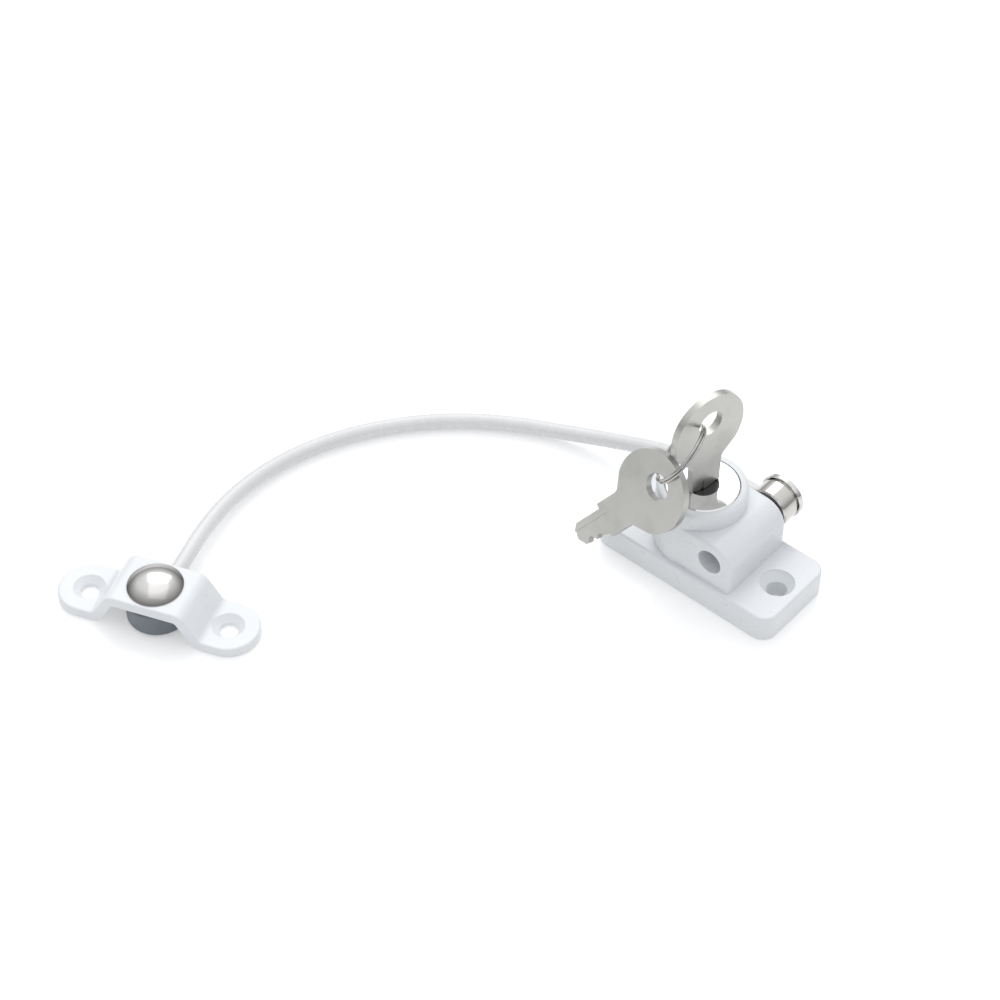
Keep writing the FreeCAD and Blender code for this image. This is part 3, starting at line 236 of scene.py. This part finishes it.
# ---------------------------------------------------------------- places taken from the model
BX = -0.0038                      # barrel axis
TX, TZ = 0.0076, 0.01476          # connector axis
KA = math.radians(78.0)
KEY_W = Vector((math.cos(KA), math.sin(KA), 0.0))
KEY_N = Vector((math.sin(KA), -math.cos(KA), 0.0))
KEY_O = Vector((BX, 0.0, 0.02562))
SP_UP = -Vector((-0.57739, -0.19345, -0.79322)).normalized()
SP_W = Vector((0.80359, -0.30652, -0.51018))
SP_W = (SP_W - SP_UP * SP_W.dot(SP_UP)).normalized()
SP_N = SP_UP.cross(SP_W)
SP_HOLE = Vector((-0.006308, -0.014275, 0.034018))
SP_O = SP_HOLE - SP_UP * 0.021
RING_C = Vector((-0.005702, -0.007518, 0.040464))
RING_N = Vector((0.74653, 0.32724, -0.57931)).normalized()
EYE = Vector((-0.09085, -0.10133, 0.0))
BR_A = math.radians(21.37)
BR_X = Vector((math.cos(BR_A), math.sin(BR_A), 0.0))
BR_Y = Vector((-math.sin(BR_A), math.cos(BR_A), 0.0))

# ---------------------------------------------------------------- materials
WHITE = (0.745, 0.765, 0.785)
white = painted("white_powder_coat_look", WHITE)
white_bracket = painted("white_powder_coat_bracket_look", (0.775, 0.79, 0.81))
assign("lock_housing", white)
assign("bracket_strap", white_bracket)

chrome = turned_metal("polished_chrome_look", (0.90, 0.90, 0.91), (BX, 0, 0), (0, 0, 1), (0.03, 0.08), 2.5e-7)
assign("lock_barrel_shell", chrome)
plug = turned_metal("cylinder_plug_look", (0.12, 0.12, 0.122), (BX, 0, 0), (0, 0, 1), (0.26, 0.40), 1.0e-6, dark=0.7)
assign("plug_core", plug)

KEYC = (0.52, 0.52, 0.492)
assign("lock_key", brushed_metal("nickel_key_look", KEYC, KEY_O, KEY_W, KEY_N, (0, 0, 1)))
assign("spare_key", brushed_metal("nickel_spare_key_look", KEYC, SP_O, SP_W, SP_N, SP_UP))

nickel = turned_metal("satin_nickel_look", (0.60, 0.585, 0.56), (TX, 0, TZ), (0, 1, 0), (0.07, 0.14), 6.0e-7)
assign("connector_body", nickel)
bright = turned_metal("bright_nickel_look", (0.72, 0.71, 0.69), (TX, 0, TZ), (0, 1, 0), (0.04, 0.09), 4e-7)
assign("connector_end_cap", bright)
dome_f = Finish("brushed_stainless_painted_reflection_look", metallic=1.0)
dv, dr_, dz_ = dome_f.turned(EYE, (0, 0, 1), 6000.0, 6000.0)
dome_lines = dome_f.noise(1.0, 2.0, 0.6, dv)
# painted reflection and shade: the dome's colour runs from bright in the middle to dark at the rim, set by radius alone
dome_f.colour(dome_f.ramp(dome_f.math("DIVIDE", dr_, 0.0070), (0.0, (0.74, 0.73, 0.71)), (0.60, (0.62, 0.61, 0.595)), (0.86, (0.33, 0.325, 0.315)), (0.97, (0.20, 0.196, 0.19))))
dome_f.rough(dome_f.spread(dome_lines, 0.10, 0.17))
dome_f.bump(dome_lines, 6e-7)
dome = dome_f.m
assign("rivet_dome_cap", dome)

assign("swivel_eye", grained("grey_cast_eye_look", (0.15, 0.172, 0.19), (0.38, 0.55), 2200.0, 1.0e-5, specular=0.5))
for n in ("thrust_washer", "upper_swivel_washer", "lower_swivel_washer", "bolt_keeper"):
    assign(n, grained(n + "_look", (0.028, 0.028, 0.031), (0.42, 0.6), 3000.0, 5e-6))
assign("base_cover", brushed_metal("zinc_plate_look", (0.62, 0.63, 0.64), (0, 0, 0), (0, 1, 0), (0, 0, 1), (1, 0, 0), (0.25, 0.45), 1.6e-6))
for n, at, ax in (("cover_screws", (-0.0012, 0, 0), (0, 0, 1)), ("barrel_retaining_pin", (BX, 0, 0.018), (0, 1, 0))):
    assign(n, turned_metal(n + "_look", (0.58, 0.58, 0.59), at, ax, (0.2, 0.36), 1.6e-6))
assign("drive_pin", turned_metal("drive_pin_look", (0.42, 0.43, 0.45), (BX - 0.0015, -0.0015, 0), (0, 0, 1), (0.2, 0.34), 1.2e-6))
assign("locking_bolt", brushed_metal("locking_bolt_look", (0.45, 0.46, 0.48), (0, 0, 0), (0, 1, 0), (0, 0, 1), (1, 0, 0), (0.22, 0.38), 2.0e-6))
assign("wafer_tumblers", brushed_metal("wafer_brass_look", (0.66, 0.50, 0.24), (BX, 0, 0), KEY_W, (0, 0, 1), KEY_N, (0.24, 0.4), 1.6e-6))
assign("plug_circlip", turned_metal("plug_circlip_look", (0.36, 0.36, 0.38), (BX, 0, 0), (0, 0, 1), (0.24, 0.4), 1.6e-6))
assign("swivel_rivet", turned_metal("swivel_rivet_look", (0.46, 0.47, 0.48), EYE, (0, 0, 1), (0.2, 0.34), 1.6e-6))
assign("lock_end_ferrule", turned_metal("ferrule_look", (0.5, 0.5, 0.51), (0.005, 0.0148, TZ), (1, 0, 0), (0.24, 0.4), 1.6e-6))

# ---------------------------------------------------------------- cable
ROUTE = [
    (0.0050, 0.0148, 0.01476), (-0.0095, 0.0148, 0.01476), (-0.0245, 0.0151, 0.0112), (-0.0400, 0.0136, 0.0060),
    (-0.0545, 0.0099, 0.0025), (-0.0685, 0.0032, 0.00205), (-0.0818, -0.0070, 0.00205), (-0.0926, -0.0198, 0.00205),
    (-0.1004, -0.0346, 0.00205), (-0.1041, -0.0504, 0.00225), (-0.1033, -0.0658, 0.0031), (-0.0992, -0.0789, 0.0043),
    (-0.095256, -0.088888, 0.0043), (-0.092052, -0.097937, 0.0043),
]
cu = bpy.data.curves.new("cable_jacket", "CURVE")
cu.dimensions = "3D"
cu.bevel_depth = 0.00205
cu.bevel_resolution = 9
cu.resolution_u = 14
cu.use_fill_caps = True
sp = cu.splines.new("NURBS")
sp.points.add(len(ROUTE) - 1)
for p, co in zip(sp.points, ROUTE):
    p.co = (co[0], co[1], co[2], 1.0)
sp.order_u = 3
sp.use_endpoint_u = True
cable = bpy.data.objects.new("cable_jacket", cu)
scene.collection.objects.link(cable)
f = Finish("white_cable_look", specular=0.5, coat=0.25, coat_roughness=0.08)
f.colour(f.ramp(f.noise(90.0, 4.0), (0.3, (0.685, 0.69, 0.70)), (0.55, (0.71, 0.715, 0.72)), (0.8, (0.725, 0.73, 0.735))))
f.rough(f.spread(f.noise(500.0, 3.0), 0.2, 0.32))
nb = f.bump(f.noise(120.0, 0.0, 0.4), 4e-6)
f.bump(f.noise(900.0, 0.0, 0.4), 2e-7, after=nb)
cu.materials.append(f.m)
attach(cable, "connector")
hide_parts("cable")

# ---------------------------------------------------------------- swept wire pieces


def sweep(name, points, radius, sides=12, flat=1.0, axis=None):
    """A closed tube of round wire through the points; flat < 1 thins it along axis."""
    me = bpy.data.meshes.new(name)
    bm = bmesh.new()
    rings = []
    n = len(points)
    up = None
    for i, p in enumerate(points):
        t = (points[min(i + 1, n - 1)] - points[max(i - 1, 0)]).normalized()
        if axis is not None:
            up = axis
        elif up is None:
            up = t.orthogonal().normalized()
        u = (up - t * up.dot(t)).normalized()
        if axis is None:
            up = u
        w = t.cross(u)
        k = 1.0
        ring = []
        for s in range(sides):
            a = 2 * math.pi * s / sides
            ring.append(bm.verts.new(p + (u * math.cos(a) * flat + w * math.sin(a)) * radius * k))
        rings.append(ring)
    for a, b in zip(rings[:-1], rings[1:]):
        for s in range(sides):
            bm.faces.new((a[s], a[(s + 1) % sides], b[(s + 1) % sides], b[s]))
    bm.faces.new(list(reversed(rings[0])))
    bm.faces.new(rings[-1])
    bmesh.ops.recalc_face_normals(bm, faces=bm.faces)
    bm.to_mesh(me)
    bm.free()
    for p in me.polygons:
        p.use_smooth = len(p.vertices) == 4
    o = bpy.data.objects.new(name, me)
    scene.collection.objects.link(o)
    return o


# split ring: one wire wound twice, stepping from one coil to the other
e1 = RING_N.orthogonal().normalized()
e2 = RING_N.cross(e1)
pts = []
STEPS = 240
TURN = 2 * 2 * math.pi - math.radians(7.0)
START = math.radians(200.0)
for i in range(STEPS + 1):
    a = START + TURN * i / STEPS
    g = (TURN * i / STEPS - (2 * math.pi - math.radians(30.0))) / math.radians(56.0)
    g = min(1.0, max(0.0, g))
    g = g * g * (3 - 2 * g)
    h = -0.00038 + 0.00076 * g
    pts.append(RING_C + (e1 * math.cos(a) + e2 * math.sin(a)) * 0.0083 + RING_N * h)
ring = sweep("split_ring_wire", pts, 0.00037, 14, 0.94, RING_N)
assign(ring, turned_metal("ring_steel_look", (0.46, 0.455, 0.44), RING_C, RING_N, (0.08, 0.18), 4e-7))
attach(ring, "key_ring")
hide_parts("split_key_ring")

# coil springs behind the wafers
sbm = None
for i, wz in enumerate((0.0152, 0.0175, 0.0198, 0.0221)):
    c0 = Vector((BX, 0, wz)) + KEY_W * 0.00395 + Vector((-KEY_W.y, KEY_W.x, 0)) * -0.0012
    y_ = Vector((-KEY_W.y, KEY_W.x, 0))
    pp = []
    for j in range(97):
        a = 2 * math.pi * 4 * j / 96
        pp.append(c0 + KEY_W * (0.00006 + 0.00068 * j / 96) + (y_ * math.cos(a) + Vector((0, 0, 1)) * math.sin(a)) * 0.00034)
    s = sweep("wafer_spring_%d" % (i + 1), pp, 0.00006, 6)
    assign(s, turned_metal("wafer_spring_look_%d" % (i + 1), (0.5, 0.51, 0.53), c0, KEY_W, (0.2, 0.34), 6e-7))
    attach(s, "cylinder_plug")
    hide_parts("wafer_springs")

# bare wire rope in the ferrule: six strands laid round a straight one
strands = []
for k in range(7):
    pp = []
    for j in range(25):
        t = j / 24
        a = 2 * math.pi * (k / 6 + 0.35 * t)
        r_ = 0.0 if k == 6 else 0.00083
        pp.append(Vector((0.00503 + 0.00242 * t, 0.0148 + r_ * math.cos(a), TZ + r_ * math.sin(a))))
    strands.append(sweep("core_strand_%d" % (k + 1), pp, 0.0004, 10))
rope = turned_metal("wire_rope_look", (0.55, 0.55, 0.56), (0.005, 0.0148, TZ), (1, 0, 0), (0.2, 0.34), 1.0e-6)
for s in strands:
    assign(s, rope)
    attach(s, "connector")
    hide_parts("lock_end_wire_core")

# ---------------------------------------------------------------- floor and light
me = bpy.data.meshes.new("floor")
S_ = 4.0
me.from_pydata([(-S_, -S_, -0.0003), (S_, -S_, -0.0003), (S_, S_, -0.0003), (-S_, S_, -0.0003)], [], [(0, 1, 2, 3)])
floor = bpy.data.objects.new("floor", me)
scene.collection.objects.link(floor)
f = Finish("floor_look", specular=0.35)
f.b.inputs["Emission Color"].default_value = (1.0, 1.0, 1.0, 1.0)
f.b.inputs["Emission Strength"].default_value = 0.28
f.colour(f.ramp(f.noise(3.0, 3.0), (0.3, (0.77, 0.77, 0.77)), (0.7, (0.79, 0.79, 0.79))))
f.rough(f.spread(f.noise(40.0, 3.0), 0.12, 0.16))
me.materials.append(f.m)

world = bpy.data.worlds.new("studio")
scene.world = world
world.use_nodes = True
wt = world.node_tree
wt.nodes.clear()
wo = wt.nodes.new("ShaderNodeOutputWorld")
bg = wt.nodes.new("ShaderNodeBackground")
tc = wt.nodes.new("ShaderNodeTexCoord")
sx = wt.nodes.new("ShaderNodeSeparateXYZ")
rp = wt.nodes.new("ShaderNodeValToRGB")
wt.links.new(tc.outputs["Generated"], sx.inputs[0])
wt.links.new(sx.outputs["Z"], rp.inputs["Fac"])
el = rp.color_ramp.elements
STOPS = [(0.0, 0.42), (0.12, 0.42), (0.30, 0.66), (0.55, 0.95), (1.0, 1.08)]
while len(el) < len(STOPS):
    el.new(0.5)
for e_, (p_, v_) in zip(el, STOPS):
    e_.position = p_
    e_.color = (v_ * 0.985, v_ * 0.995, v_ * 1.01, 1)
# a little brighter from behind the object than from the camera's side
back = wt.nodes.new("ShaderNodeVectorMath")
back.operation = "DOT_PRODUCT"
wt.links.new(tc.outputs["Generated"], back.inputs[0])
back.inputs[1].default_value = (-0.66, 0.75, 0.0)
br = wt.nodes.new("ShaderNodeMapRange")
br.inputs["From Min"].default_value = -1.0
br.inputs["From Max"].default_value = 1.0
br.inputs["To Min"].default_value = 0.82
br.inputs["To Max"].default_value = 1.16
wt.links.new(back.outputs["Value"], br.inputs["Value"])
wt.links.new(rp.outputs[0], bg.inputs["Color"])
wt.links.new(br.outputs[0], bg.inputs["Strength"])
wt.links.new(bg.outputs[0], wo.inputs["Surface"])


def softbox(name, where, size, power, at=(-0.04, -0.03, 0.0), tint=(1, 1, 1)):
    d = bpy.data.lights.new(name, "AREA")
    d.shape = "RECTANGLE"
    d.size, d.size_y = size
    d.energy = power
    d.color = tint
    o = bpy.data.objects.new(name, d)
    scene.collection.objects.link(o)
    o.location = where
    o.rotation_mode = "QUATERNION"
    o.rotation_quaternion = (Vector(at) - Vector(where)).to_track_quat("-Z", "Y")
    return o


softbox("key_light", (-0.75, 0.75, 1.15), (1.3, 1.0), 6.0)
softbox("top_light", (0.0, 0.0, 1.5), (1.4, 1.4), 2.0)
softbox("fill_light", (0.9, -1.0, 0.7), (0.9, 0.7), 0.8)
